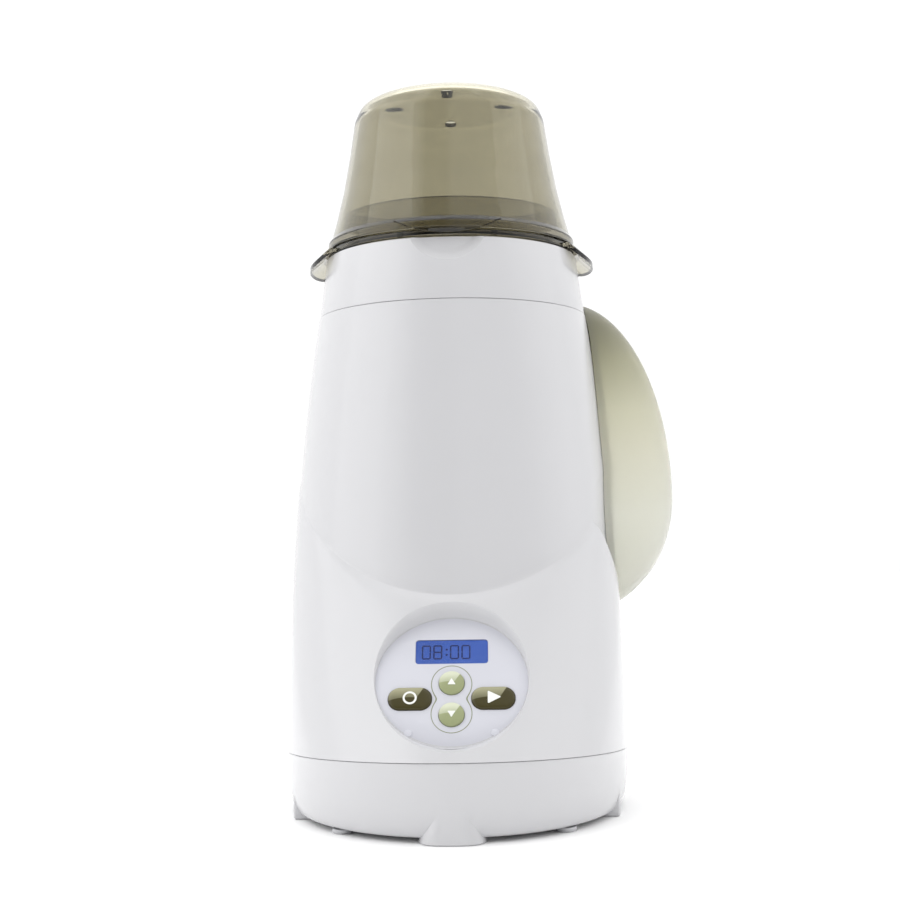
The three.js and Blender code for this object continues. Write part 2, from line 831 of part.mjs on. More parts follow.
piece('dock_seat', dockSeat(), finishes.silicone, dockFrame);
piece('water_tank', tankBody(), finishes.frosted);
piece('tank_cap', tankCap(), finishes.blackPlastic, dockFrame);
piece('cap_gasket', solid(ring(4.9, 6.1, 3.8, 4.7)), finishes.silicone, dockFrame);
piece('valve_stem', valveStem(), finishes.blackPlastic, dockFrame);
piece('valve_seal', solid(ring(2, 3.6, 6, 6.6, 12)), finishes.silicone, dockFrame);
piece('valve_spring', solid(tube(new Coil(2.2, -1.35, 2.2, 2.5), 0.3, 26, 6)), finishes.steel, dockFrame);

piece('basket', basket(), finishes.smoky);
piece('lid', lid(), finishes.smoky);

piece('panel_face', panelFace(), finishes.fascia, panelFrame);
const lensShape = roundedRectangle(display.width, display.height, 0.8, 0, display.v);
piece('display_lens', solid(prism(lensShape, -1.4, -0.1)), finishes.lens, panelFrame);
piece('lcd_module', solid(box(31, 13.5, 3, 0, display.v, -6.1)), finishes.displayBlue, panelFrame);
piece('control_board', controlBoard(), finishes.board, panelFrame);
for (const side of [-1, 1]) {
  const tiny = countersunkScrew(2.2, 1.1, boardFace - 3.4, boardFace - 1.9, -6.5, 10);
  const name = side < 0 ? 'board_screw_left' : 'board_screw_right';
  piece(name, tiny, finishes.steel, panelFrame).position.set(23 * side, 4, 0);
}
for (const spot of buttonSpots()) {
  piece(spot.name, button(spot), spot.pill ? finishes.olive : finishes.sage, panelFrame);
  piece(spot.name.replace('button', 'switch'), tactSwitch(spot), finishes.blackPlastic, panelFrame);
}

const boardTop = powerBoard.z + powerBoard.thick;
const boardMiddle = powerBoard.z + powerBoard.thick / 2;
let boardShape = solid(box(
  powerBoard.width, powerBoard.depth, powerBoard.thick, 0, powerBoard.y, boardMiddle,
));
for (const side of [-1, 1]) {
  boardShape = boardShape.subtract(solid(post(1.6, 0, 30, side * 26, powerBoard.y, 10)));
}
piece('power_board', boardShape, finishes.board);
const coil = solid(box(20, 18, 15, -10, powerBoard.y, boardTop + 0.3 + 7.5))
  .add(solid(box(14, 22, 11, -10, powerBoard.y, boardTop + 0.3 + 7.5)));
piece('transformer', coil, finishes.yellowTape);
piece('relay', solid(box(15, 12, 14, 13, powerBoard.y - 8, boardTop + 0.3 + 7)), finishes.relayBlue);
const capacitor = post(5, boardTop + 0.3, boardTop + 16, 13, powerBoard.y + 10);
piece('capacitor', solid(capacitor), finishes.blackPlastic);
for (const side of [-1, 1]) {
  const held = countersunkScrew(2.4, 1.1, 1.6, 0, -6.4, 10);
  const name = side < 0 ? 'power_screw_left' : 'power_screw_right';
  piece(name, held, finishes.steel).position.set(side * 26, powerBoard.y, boardTop + 0.3);
}

// The bounding box runs from the base to the tank, and from the nose leg to the bushing
const extent = {
  left: -basePlan.halfX,
  right: egg.x + egg.halfX,
  front: noseLeg.y - noseLeg.radius,
  back: bushing.back,
};
assembly.position.set(-(extent.left + extent.right) / 2, -(extent.front + extent.back) / 2, 0);

const group = new THREE.Group();
group.add(assembly);
export default group;
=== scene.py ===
import math

import bpy
from mathutils import Matrix, Vector


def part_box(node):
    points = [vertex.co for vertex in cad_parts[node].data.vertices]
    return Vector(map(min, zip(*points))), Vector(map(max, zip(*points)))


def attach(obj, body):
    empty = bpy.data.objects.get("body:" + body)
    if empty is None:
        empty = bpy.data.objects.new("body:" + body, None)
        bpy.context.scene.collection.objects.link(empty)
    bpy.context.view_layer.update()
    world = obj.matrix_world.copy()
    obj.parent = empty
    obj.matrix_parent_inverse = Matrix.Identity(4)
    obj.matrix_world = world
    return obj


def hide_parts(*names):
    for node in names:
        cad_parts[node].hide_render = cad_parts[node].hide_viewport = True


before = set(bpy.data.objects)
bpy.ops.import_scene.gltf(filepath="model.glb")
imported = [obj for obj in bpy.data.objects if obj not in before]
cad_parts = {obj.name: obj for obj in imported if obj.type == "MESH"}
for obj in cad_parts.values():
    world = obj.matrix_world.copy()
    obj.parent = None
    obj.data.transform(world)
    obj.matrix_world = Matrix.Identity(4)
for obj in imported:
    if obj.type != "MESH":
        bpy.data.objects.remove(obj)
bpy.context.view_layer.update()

# Shapes are made in millimetres about the tower's own axis, then settled into the frame in metres.
mm = 0.001
mergeBelow = 1e-4
quarterTurn = math.radians(90)
sideways = Matrix(((0, 0, 1, 0), (1, 0, 0, 0), (0, 1, 0, 0), (0, 0, 0, 1)))  # lays a plate against the tower
plateLow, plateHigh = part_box("heating_plate")
towerAxis = Vector(((plateLow.x + plateHigh.x) / 2, (plateLow.y + plateHigh.y) / 2, 0))


# ---- small tools

def solo(piece):
    if bpy.context.mode != "OBJECT":
        bpy.ops.object.mode_set(mode="OBJECT")
    bpy.ops.object.select_all(action="DESELECT")
    piece.select_set(True)
    bpy.context.view_layer.objects.active = piece


def startEdit(piece):
    solo(piece)
    bpy.ops.object.mode_set(mode="EDIT")
    bpy.ops.mesh.select_all(action="SELECT")


def named(name):
    piece = bpy.context.object
    piece.name = name
    piece.data.name = name
    return piece


def clean(piece):
    startEdit(piece)
    bpy.ops.mesh.remove_doubles(threshold=mergeBelow)
    bpy.ops.mesh.delete_loose()
    bpy.ops.mesh.select_all(action="SELECT")
    bpy.ops.mesh.normals_make_consistent(inside=False)
    bpy.ops.object.mode_set(mode="OBJECT")
    return piece


def placeBy(piece, matrix):
    piece.data.transform(matrix)
    return piece


def cut(piece, tool, operation="DIFFERENCE"):
    solo(piece)
    boolean = piece.modifiers.new("cut", "BOOLEAN")
    boolean.operation = operation
    boolean.solver = "EXACT"
    boolean.object = tool
    bpy.ops.object.modifier_apply(modifier=boolean.name)
    bpy.data.objects.remove(tool)
    return piece


def useModifier(piece, kind, **settings):
    solo(piece)
    modifier = piece.modifiers.new(kind.lower(), kind)
    for key, value in settings.items():
        setattr(modifier, key, value)
    bpy.ops.object.modifier_apply(modifier=modifier.name)
    return piece


def smooth(piece, degrees=35):
    solo(piece)
    bpy.ops.object.shade_smooth_by_angle(angle=math.radians(degrees))
    return piece


def join(piece, *others):
    solo(piece)
    for other in others:
        other.select_set(True)
    bpy.ops.object.join()
    return piece


def settle(piece, body, *replaced):
    placeBy(piece, Matrix.Translation(towerAxis) @ Matrix.Scale(mm, 4))
    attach(piece, body)
    if replaced:
        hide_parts(*replaced)
    return piece


def paint(piece, *materials):
    piece.data.materials.clear()
    for material in materials:
        piece.data.materials.append(material)
    return piece


def rounded(corners, steps=5):
    # Each corner is (x, y, radius); one with a radius becomes an arc.
    path = []
    for i, (x, y, radius) in enumerate(corners):
        here = Vector((x, y))
        if radius == 0:
            path.append(here)
            continue
        toBack = Vector(corners[i - 1][:2]) - here
        toAhead = Vector(corners[(i + 1) % len(corners)][:2]) - here
        half = toBack.angle(toAhead) / 2
        reach = min(radius / math.tan(half), 0.48 * toBack.length, 0.48 * toAhead.length)
        back, ahead = toBack.normalized(), toAhead.normalized()
        centre = here + (back + ahead).normalized() * (reach / math.cos(half))
        start, end = here + back * reach - centre, here + ahead * reach - centre
        sweep = start.angle(end)
        for step in range(steps + 1):
            t = step / steps
            weights = math.sin((1 - t) * sweep), math.sin(t * sweep)
            path.append(centre + (start * weights[0] + end * weights[1]) / math.sin(sweep))
    return path


def spun(name, outline, steps=160):
    bpy.ops.object.select_all(action="DESELECT")
    bpy.ops.mesh.primitive_circle_add(vertices=len(outline), fill_type="NOTHING")
    piece = named(name)
    for corner, (radius, height) in zip(piece.data.vertices, outline):
        corner.co = (0, -radius, height)
    startEdit(piece)
    bpy.ops.mesh.select_all(action="DESELECT")
    bpy.ops.object.mode_set(mode="OBJECT")
    for edge in piece.data.edges:  # an edge on the axis would be left bare
        edge.select = all(abs(outline[i][0]) < 1e-6 for i in edge.vertices)
    bpy.ops.object.mode_set(mode="EDIT")
    bpy.ops.mesh.select_mode(type="EDGE")
    bpy.ops.mesh.delete(type="EDGE")
    bpy.ops.mesh.select_all(action="SELECT")
    bpy.ops.mesh.spin(steps=steps, angle=2 * math.pi, center=(0, 0, 0), axis=(0, 0, 1), use_auto_merge=True)
    return clean(piece)


def wrapped(name, columns, rows, place):
    # A grid rolled into a closed skin; place gives each corner from its turn and its row.
    bpy.ops.object.select_all(action="DESELECT")
    bpy.ops.mesh.primitive_grid_add(x_subdivisions=columns, y_subdivisions=rows, size=1)
    piece = named(name)
    for corner in piece.data.vertices:
        u, v = corner.co.x + 0.5, corner.co.y + 0.5
        corner.co = place(u * 2 * math.pi, round(v * rows))
    startEdit(piece)
    bpy.ops.mesh.remove_doubles(threshold=mergeBelow)
    bpy.ops.mesh.select_all(action="SELECT")
    bpy.ops.mesh.fill_holes(sides=0)
    bpy.ops.mesh.select_all(action="SELECT")
    bpy.ops.mesh.normals_make_consistent(inside=False)
    bpy.ops.object.mode_set(mode="OBJECT")
    return piece


def pillar(name, radius, bottom, top, x=0, y=0, sides=64):
    bpy.ops.object.select_all(action="DESELECT")
    bpy.ops.mesh.primitive_cone_add(
        vertices=sides, radius1=radius, radius2=radius, depth=top - bottom, location=(0, 0, 0))
    piece = named(name)
    return placeBy(piece, Matrix.Translation((x, y, (bottom + top) / 2)))


def plate(name, outline, bottom, top):
    # A flat outline pushed up into a plate.
    bpy.ops.object.select_all(action="DESELECT")
    bpy.ops.mesh.primitive_circle_add(vertices=len(outline), fill_type="NGON")
    piece = named(name)
    for corner, (x, y) in zip(piece.data.vertices, outline):
        corner.co = (x, y, bottom)
    startEdit(piece)
    bpy.ops.mesh.extrude_region_move(TRANSFORM_OT_translate={"value": (0, 0, top - bottom)})
    return clean(piece)


def ovalOutline(halfX, halfY, count=96, x=0, y=0):
    turns = [2 * math.pi * i / count for i in range(count)]
    return [(x + halfX * math.cos(turn), y + halfY * math.sin(turn)) for turn in turns]


def pillOutline(width, height, radius, x=0, y=0, steps=8):
    w, h = width / 2, height / 2
    corners = [(x + w, y + h, radius), (x - w, y + h, radius), (x - w, y - h, radius), (x + w, y - h, radius)]
    return rounded(corners, steps)


# ---- the housing's surface

housing = {
    "collarSeam": 202.6, "towerTopRadius": 57, "frontTaper": 0.0521,
    "creaseSide": 141, "creaseRise": 53.5, "creaseRadius": 64.8,
    "baseCentreY": -15, "baseHalfX": 69.5, "baseHalfY": 85,
    "seamHeight": 22.5, "seamSlope": 0.065, "sideBulge": 0.8, "frontHollow": 0.2, "shoulder": 2.2, "ledge": 1.8,
    "wall": 2.4, "creaseSoftness": 0.35, "columns": 216,
}
egg = {"centre": (50, 14, 126), "half": (43.9, 35), "up": 85, "down": 50.5}
pocket = {"centre": (50, 12, 120), "half": (46, 45.8), "up": 95, "down": 45}
dock = {"place": (49, 14, 72), "lean": math.radians(12), "floor": 12.4, "spine": 10, "cap": 7.5}
panel = {
    "place": (0, -76.2, 56.6), "lean": math.radians(57.7), "halfX": 27.9, "halfY": 25.8,
    "middleV": -0.8, "thick": 1.6,
    "display": (0, 11.4, 27.2, 10), "roundRadius": 4.75, "upV": -1.8, "downV": -14.6,
    "pillU": 15.4, "pillV": -8.1, "pillWidth": 16.1, "pillHeight": 9,
}
cordHeight = 40
dockFrame = Matrix.Translation(dock["place"]) @ Matrix.Rotation(dock["lean"], 4, "Y")
cordFrame = Matrix.Translation((0, 0, cordHeight)) @ Matrix.Rotation(-quarterTurn, 4, "X")
panelFrame = Matrix.Translation(panel["place"]) @ Matrix.Rotation(panel["lean"], 4, "X")


def basePlanRadius(bearing):
    across = math.sin(bearing) / housing["baseHalfX"]
    along = -math.cos(bearing) / housing["baseHalfY"]
    start = -housing["baseCentreY"] / housing["baseHalfY"]
    square, half = across ** 2 + along ** 2, along * start
    return (-half + math.sqrt(half ** 2 - square * (start ** 2 - 1))) / square


def towerRadius(bearing, z):
    rise = z - housing["creaseSide"]
    side = housing["creaseRadius"] - 0.0929 * rise - 0.000527 * rise ** 2
    front = housing["towerTopRadius"] + (housing["collarSeam"] - z) * housing["frontTaper"]
    frontness = max(0, math.cos(bearing)) ** 2
    return frontness * front + (1 - frontness) * side


def creaseHeight(bearing):
    return housing["creaseSide"] - housing["creaseRise"] * math.cos(bearing)


def seamHeight(bearing):
    return housing["seamHeight"] + housing["seamSlope"] * basePlanRadius(bearing) * math.cos(bearing)


def crispRadius(bearing, z):
    crease = creaseHeight(bearing)
    if z >= crease:
        return towerRadius(bearing, z)
    base = basePlanRadius(bearing)
    down = (crease - z) / (crease - seamHeight(bearing))
    top = towerRadius(bearing, crease)
    frontness = max(0, math.cos(bearing)) ** 2
    bow = housing["sideBulge"] * math.sin(bearing) ** 2 - housing["frontHollow"] * frontness
    if math.cos(bearing) > 0:  # fuller shoulders beside the panel
        bow += housing["shoulder"] * math.sin(2 * bearing) ** 2
    # The surface turns out quickly under the crease, then runs straight down.
    ledge = housing["ledge"] * max(0, math.cos(bearing)) ** 0.5 * (1 - math.exp((z - crease) / 2.6)) * (1 - down)
    return top + (base - top) * down + bow * 4 * down * (1 - down) + ledge


def housingRadius(bearing, z):
    soft = housing["creaseSoftness"]
    samples = [crispRadius(bearing, z + step * soft) for step in (-2, -1, 0, 1, 2)]
    return sum(weight * radius for weight, radius in zip((1, 2, 3, 2, 1), samples)) / 9


def around(bearing, radius, z):
    return Vector((radius * math.sin(bearing), -radius * math.cos(bearing), z))


def housingSkin(name, inset, past, columns, lowerRows=44, upperRows=26):
    # Rows crowd together at the crease, where the surface turns.
    def place(bearing, row):
        row -= 1 if past else 0
        seam, crease, top = seamHeight(bearing) + 0.1, creaseHeight(bearing), housing["collarSeam"] + 0.18
        level = min(max(row, 0), lowerRows + upperRows)
        if level <= lowerRows:
            z = crease - (crease - seam) * (1 - level / lowerRows) ** 1.5
        else:
            z = crease + (top - crease) * ((level - lowerRows) / upperRows) ** 1.4
        radius = housingRadius(bearing, z) - inset
        if row < 0:
            z -= past
        if row > lowerRows + upperRows:
            z += past
        return around(bearing, radius, z)
    return wrapped(name, columns, lowerRows + upperRows + (2 if past else 0), place)


def eggSolid(name, shape, grow=0, segments=96, rings=64):
    bpy.ops.object.select_all(action="DESELECT")
    bpy.ops.mesh.primitive_uv_sphere_add(segments=segments, ring_count=rings, radius=1)
    piece = named(name)
    centre = Vector(shape["centre"])
    for corner in piece.data.vertices:
        reach = shape["up"] if corner.co.z > 0 else shape["down"]
        half = shape["half"][0] + grow, shape["half"][1] + grow, reach + grow
        corner.co = centre + Vector([share * size for share, size in zip(corner.co, half)])
    return piece


def pocketTool(grow):
    # An egg with its back cut flat to the tower, and wider above the side of the crease.
    centre, shelf, bottom, top, outside = housing["creaseRadius"] - grow, housing["creaseSide"], 30, 230, 120
    back = spun("pocketBack", [
        (0, bottom), (centre, bottom), (centre, shelf), (outside, shelf), (outside, top), (0, top)])
    return cut(eggSolid("pocketTool", pocket, grow), back)


def panelPoint(u, v, n):
    return panelFrame @ Vector((u, v, n))


def surfaceOverPanel(u, v):
    # How far out from the panel's plane the housing's surface lies.
    low, high = -20, 25
    for _ in range(30):
        middle = (low + high) / 2
        point = panelPoint(u, v, middle)
        bearing = math.atan2(point.x, -point.y)
        if math.hypot(point.x, point.y) < crispRadius(bearing, point.z):
            low = middle
        else:
            high = middle
    return (low + high) / 2


def recessTool(name, grow, floor, columns=144, rim=True):
    # An oval well with drafted walls, whose rounded mouth follows the housing's surface.
    # Each row of the wall has its share of the height and its extra spread.
    walls = [(0.3, 0), (0.6, 0), (0.82, 0.03), (0.93, 0.12), (1, 0.4), (1, 1.0)]
    draft, lowerLean, past, plainTop = 0.58, 0.3, 9, 14
    mouths = {}

    def mouth(c, s):
        height = 0
        for _ in range(3):
            spread = grow + draft * max(height, 0)
            u, v = (panel["halfX"] + spread) * c, (panel["halfY"] + spread) * s
            height = surfaceOverPanel(u, panel["middleV"] + v)
        return max(height, 0.05)

    def place(turn, row):
        step = round(turn / (2 * math.pi) * columns) % columns
        c, s = math.cos(turn), math.sin(turn)
        if step not in mouths:
            mouths[step] = mouth(c, s) if rim else 0
        height, spread, n = mouths[step], 0, floor
        if row and rim:
            share, extra = walls[min(row, len(walls)) - 1]
            lean = draft + lowerLean * max(0, -s)  # the lower wall leans back further
            spread = lean * height * share + extra * min(1, 0.3 + height / 3)
            n = height * share + 0.02 * row if row <= len(walls) else height + past
        elif row:
            n = plainTop
        half = panel["halfX"] + grow + spread, panel["halfY"] + grow + spread
        return Vector((half[0] * c, panel["middleV"] + half[1] * s, n))
    return placeBy(wrapped(name, columns, len(walls) + 1 if rim else 1, place), panelFrame)


def buttonSpots():
    # Each button's node, its place on the panel and whether it's long.
    across, low = panel["pillU"], panel["pillV"]
    return [
        ("button_up", 0, panel["upV"], False), ("button_down", 0, panel["downV"], False),
        ("button_stop", -across, low, True), ("button_start", across, low, True),
    ]


# ---- finishes

class Wire:
    # A shader socket that takes part in sums; node() adds any other node.
    def __init__(self, tree, socket=None):
        self.tree, self.socket = tree, socket

    def node(self, kind, settings=None, output=0, **values):
        made = self.tree.nodes.new(kind)
        for key, value in (settings or {}).items():
            if key == "stops":
                while len(made.color_ramp.elements) < len(value):
                    made.color_ramp.elements.new(0.5)
                for stop, (place, colour) in zip(made.color_ramp.elements, value):
                    stop.position, stop.color = place, (*colour, 1)
            else:
                setattr(made, key, value)
        for key, value in values.items():
            socket = made.inputs[int(key[2:])] if key.startswith("in") and key[2:].isdigit() else None
            socket = socket or made.inputs[key.replace("_", " ")]
            if isinstance(value, Wire):
                self.tree.links.new(value.socket, socket)
            elif value is not None:
                socket.default_value = (*value, 1) if socket.type == "RGBA" and len(value) == 3 else value
        return Wire(self.tree, made.outputs[output])

    def sum(self, operation, *terms):
        values = {f"in{i}": term for i, term in enumerate(terms)}
        return self.node("ShaderNodeMath", {"operation": operation}, **values)

    def __add__(self, other):
        return self.sum("ADD", self, other)

    __radd__ = __add__

    def __sub__(self, other):
        return self.sum("SUBTRACT", self, other)

    def __rsub__(self, other):
        return self.sum("SUBTRACT", other, self)

    def __mul__(self, other):
        return self.sum("MULTIPLY", self, other)

    __rmul__ = __mul__

    def __truediv__(self, other):
        return self.sum("DIVIDE", self, other)

    def __gt__(self, other):
        return self.sum("GREATER_THAN", self, other)

    def step(self, low, high):
        # 0 below low, 1 above high, and smooth between.
        return self.node(
            "ShaderNodeMapRange", {"interpolation_type": "SMOOTHSTEP"},
            Value=self, From_Min=low, From_Max=high, To_Min=0.0, To_Max=1.0)

    def mix(self, first, second):
        settings = {"data_type": "RGBA"}
        return self.node("ShaderNodeMix", settings, output=2, in0=self, in6=first, in7=second)

    def ramp(self, *stops):
        return self.node("ShaderNodeValToRGB", {"stops": stops}, Fac=self)

    def place(self):
        return self.node("ShaderNodeTexCoord", output=3)

    def along(self, axis, start=(0, 0, 0)):
        # Distance in millimetres along an axis, from a point in the frame.
        moved = self.node("ShaderNodeVectorMath", {"operation": "SUBTRACT"}, in0=self.place(), in1=tuple(start))
        reach = tuple(Vector(axis) / mm)
        return self.node("ShaderNodeVectorMath", {"operation": "DOT_PRODUCT"}, output=1, in0=moved, in1=reach)

    def noise(self, size, detail=2.0, stretch=(1, 1, 1)):
        scaled = self.node("ShaderNodeVectorMath", {"operation": "MULTIPLY"}, in0=self.place(), in1=stretch)
        return self.node("ShaderNodeTexNoise", Vector=scaled, Scale=1 / (size * mm), Detail=detail)

    def bump(self, height, depth):
        return self.node("ShaderNodeBump", Height=height, Distance=depth * mm, Strength=1.0)


def finish(name, build):
    # build(start) returns what goes into the shader's sockets.
    material = bpy.data.materials.new(name)
    material.use_nodes = True
    tree = material.node_tree
    tree.nodes.clear()
    start = Wire(tree)
    shader = start.node("ShaderNodeBsdfPrincipled", **build(start))
    output = tree.nodes.new("ShaderNodeOutputMaterial")
    tree.links.new(shader.socket, output.inputs["Surface"])
    return material


def moulded(colour, roughness, grain=1.2, depth=0.006, coat=0.0, shade=0.03, specular=0.5):
    # Moulded plastic: a faint cloudiness, slightly uneven gloss and the mould's fine texture.
    dark = tuple(c * (1 - shade) for c in colour)

    def build(start):
        cloud = start.noise(26, 3.0)
        fine = start.noise(grain, 3.0)
        return dict(
            Base_Color=cloud.mix(dark, colour), Roughness=roughness + 0.06 * cloud + 0.03 * fine,
            Normal=start.bump(fine, depth), Coat_Weight=coat, Coat_Roughness=0.08, Specular_IOR_Level=specular)
    return build


def clearPlastic(colour, roughness=0.03, bend=1.49):
    def build(start):
        cloud = start.noise(18, 2.0)
        dark = tuple(c * 0.95 for c in colour)
        edgeShade = tuple(c * 0.5 for c in colour)  # painted shade: edges seen from the side are made darker, partly also for the longer path through the tinted plastic
        edge = start.node("ShaderNodeLayerWeight", output=1, Blend=0.5).step(0.5, 0.97)
        return dict(
            Base_Color=edge.mix(cloud.mix(dark, colour), edgeShade), Roughness=roughness + 0.01 * cloud,
            Transmission_Weight=1.0, IOR=bend)
    return build


def brushed(colour, roughness, stretch):
    def build(start):
        streaks = start.noise(1.4, 4.0, stretch)
        dark = tuple(c * 0.8 for c in colour)
        return dict(
            Base_Color=streaks.mix(dark, colour), Roughness=roughness + 0.18 * streaks,
            Metallic=1.0, Normal=start.bump(streaks, 0.02))
    return build


tankShadeTones = [  # height in millimetres, colour; painted light and shade: lighter through the middle, darker at the bottom and darkest towards the top
    (75, (0.73, 0.72, 0.62)), (88, (0.85, 0.85, 0.78)), (118, (0.91, 0.91, 0.84)), (142, (0.89, 0.88, 0.78)),
    (163, (0.82, 0.81, 0.68)), (183, (0.60, 0.59, 0.44)), (200, (0.34, 0.33, 0.22)), (210, (0.28, 0.27, 0.18)),
]


def frostedTank(start):
    low, high = tankShadeTones[0][0], tankShadeTones[-1][0]
    height = start.along((0, 0, 1)) + 6 * start.noise(30, 1.0) - 3
    share = (height - low) / (high - low)
    # painted light and shade: the colour follows the height through the tones above
    colour = share.ramp(*[((z - low) / (high - low), tone) for z, tone in tankShadeTones])
    fine = start.noise(0.9, 3.0)
    return dict(
        Base_Color=colour, Roughness=0.42 + 0.12 * fine, Normal=start.bump(fine, 0.01),
        Transmission_Weight=0.7, IOR=1.25, Coat_Weight=0.3, Coat_Roughness=0.12)


def printedButton(base, glint, reach):
    # A printed highlight covers the button's upper left and fades downwards.
    def build(start):
        across, up = (panelFrame.to_3x3() @ Vector(axis) for axis in ((1, 0, 0), (0, 1, 0)))
        spots = [(u, v) for name, u, v, pill in buttonSpots() if pill == (reach > 6)]
        mask = None
        for u, v in spots:
            centre = towerAxis + mm * panelPoint(u, v, 0)
            x, y = start.along(across, centre), start.along(up, centre)
            upper = (y + 0.02 * x * x - 0.3).step(-0.15, 0.15)
            slash = (reach * 0.46 - x + 0.62 * (y - 2)).step(-0.15, 0.15)
            near = (reach + 1 - x.sum("ABSOLUTE", x)) > 0
            near = near * ((6 - y.sum("ABSOLUTE", y)) > 0)
            fade = 0.35 + 0.65 * y.step(-1.0, 4.0)
            part = upper * slash * near * fade
            mask = part if mask is None else mask.sum("MAXIMUM", mask, part)
        cloud = start.noise(5, 2.0)
        return dict(
            Base_Color=(mask * (0.92 + 0.08 * cloud)).mix(base, glint), Roughness=0.3 + 0.08 * cloud,
            Specular_IOR_Level=0.3, Coat_Weight=0.08, Coat_Roughness=0.05,
            Normal=start.bump(start.noise(0.5), 0.004))
    return build


def circuitBoard(start):
    tracks = start.noise(2.2, 0.0, (1, 0.25, 1)).step(0.5, 0.53)
    weave = start.noise(0.5, 2.0)
    return dict(
        Base_Color=tracks.mix((0.012, 0.11, 0.045), (0.03, 0.2, 0.08)), Roughness=0.35 + 0.15 * weave,
        Normal=start.bump(tracks, 0.03))


def displayFace(start):
    cloud = start.noise(12, 1.0)
    colour = cloud.mix((0.03, 0.085, 0.36), (0.05, 0.12, 0.46))
    return dict(
        Base_Color=colour, Roughness=0.3 + 0.1 * start.noise(0.4), Emission_Color=colour, Emission_Strength=0.35)


white = (0.588, 0.588, 0.604)
finishes = {
    "glossWhite": finish("gloss_white", moulded(white, 0.2, 1.6, 0.004, coat=0.35, shade=0.02)),
    "satinGrey": finish("satin_grey", moulded((0.62, 0.625, 0.68), 0.42, 0.5, 0.008)),
    "printLine": finish("print_line", moulded((0.25, 0.27, 0.17), 0.5, 0.4, 0.004)),
    "iconWhite": finish("icon_white", moulded((0.86, 0.87, 0.83), 0.35, 0.4, 0.004)),
    "smoky": finish("smoky_clear", clearPlastic((0.515, 0.49, 0.385), 0.01)),
    # darker tint for thick rims and clips: partly their thickness, partly painted shade
    "smokyRimShade": finish("smoky_rim_shade", clearPlastic((0.24, 0.22, 0.165), 0.02)),
    "lens": finish("window_clear", clearPlastic((0.93, 0.94, 0.97), 0.02, 1.12)),
    "frosted": finish("frosted_tank", frostedTank),
    "display": finish("display_blue", displayFace),
    "digits": finish("digit_navy", moulded((0.012, 0.022, 0.11), 0.4, 0.3, 0.002)),
    "olive": finish("olive_button", printedButton((0.048, 0.04, 0.008), (0.36, 0.35, 0.22), 8.05)),
    "sage": finish("sage_button", printedButton((0.31, 0.34, 0.18), (0.66, 0.69, 0.53), 4.9)),
    "black": finish("black_plastic", moulded((0.022, 0.022, 0.024), 0.38, 0.8, 0.02, shade=0.25)),
    "rubber": finish("dark_rubber", moulded((0.035, 0.035, 0.037), 0.62, 0.5, 0.03, shade=0.2)),
    "footGloss": finish("foot_gloss", moulded((0.5, 0.5, 0.52), 0.12, 0.8, 0.004, coat=0.6)),
    "silicone": finish("silicone", moulded((0.62, 0.6, 0.55), 0.5, 0.7, 0.015, shade=0.08)),
    "steel": finish("steel", brushed((0.62, 0.62, 0.63), 0.2, (1, 1, 6))),
    "aluminium": finish("aluminium", brushed((0.76, 0.77, 0.78), 0.22, (1, 1, 9))),
    "board": finish("circuit_board", circuitBoard),
    "tape": finish("transformer_tape", moulded((0.72, 0.5, 0.07), 0.4, 0.6, 0.01, shade=0.15)),
    "relay": finish("relay_blue", moulded((0.03, 0.16, 0.42), 0.32, 0.9, 0.008, shade=0.1)),
}
print("finishes made")


# ---- housing

def makeBodyShell():
    body = housingSkin("housing_shell", 0, 0, housing["columns"])
    inside = housingSkin("inside", housing["wall"] + 0.3, 4, 96, 12, 10)
    floor, wall, clear = -panel["thick"] - 0.3, housing["wall"], 0.4
    groove, grooveTop = dock["spine"] + 1, 140
    cut(body, pocketTool(0))
    cut(body, placeBy(pillar("groove", groove, dock["floor"], grooveTop), dockFrame))
    cut(body, recessTool("recess", clear, floor))
    cut(inside, pocketTool(wall))
    cut(inside, placeBy(pillar("groove", groove + wall, dock["floor"] - wall, grooveTop), dockFrame))
    cut(inside, recessTool("recess", clear + wall, floor - 2.2, rim=False))
    cut(body, inside)
    holes = placeBy(pillar("hole", dock["cap"] + 0.9, 5, 20), dockFrame)
    window = pillOutline(25, 8.5, 0.8, 0, panel["display"][1])
    join(holes, placeBy(plate("hole", window, -8, 0), panelFrame))
    for name, u, v, pill in buttonSpots():
        join(holes, placeBy(pillar("hole", 3, -8, 0, u, v, 32), panelFrame))
    join(holes, placeBy(pillar("hole", 5.4, 60, 80, sides=48), cordFrame))
    cut(body, holes)
    smooth(body, 28)
    paint(body, finishes["glossWhite"])
    settle(body, "housing", "body_shell")


collar = {
    "low": 203, "high": 228.5, "lowRadius": 56.8, "taper": 3.5,
    "notchReach": 15.8, "notchMiddle": 235, "tipClear": 1.5,
}


def notchTool():
    # The scoop in the collar's rim, opening out in a small bevel that follows the collar.
    reach, middle, low, high = collar["notchReach"], collar["notchMiddle"], collar["low"], collar["high"]
    lip = [  # spread and depth of each row
        (-9, 2.1), (-5, 2.05), (-3.4, 1.9), (-1.2, 0.75), (-0.3, 0.35), (0.3, 0.08), (0.9, -0.3), (1, -8)]

    def place(turn, row):
        spread, depth = lip[row]
        x, z = (reach + spread) * math.cos(turn), middle + (reach + spread) * math.sin(turn)
        outer = collar["lowRadius"] - collar["taper"] * (min(max(z, low), high) - low) / (high - low)
        return Vector((x, -math.sqrt(outer ** 2 - x ** 2) + depth, z))
    return wrapped("notch", 96, len(lip) - 1, place)


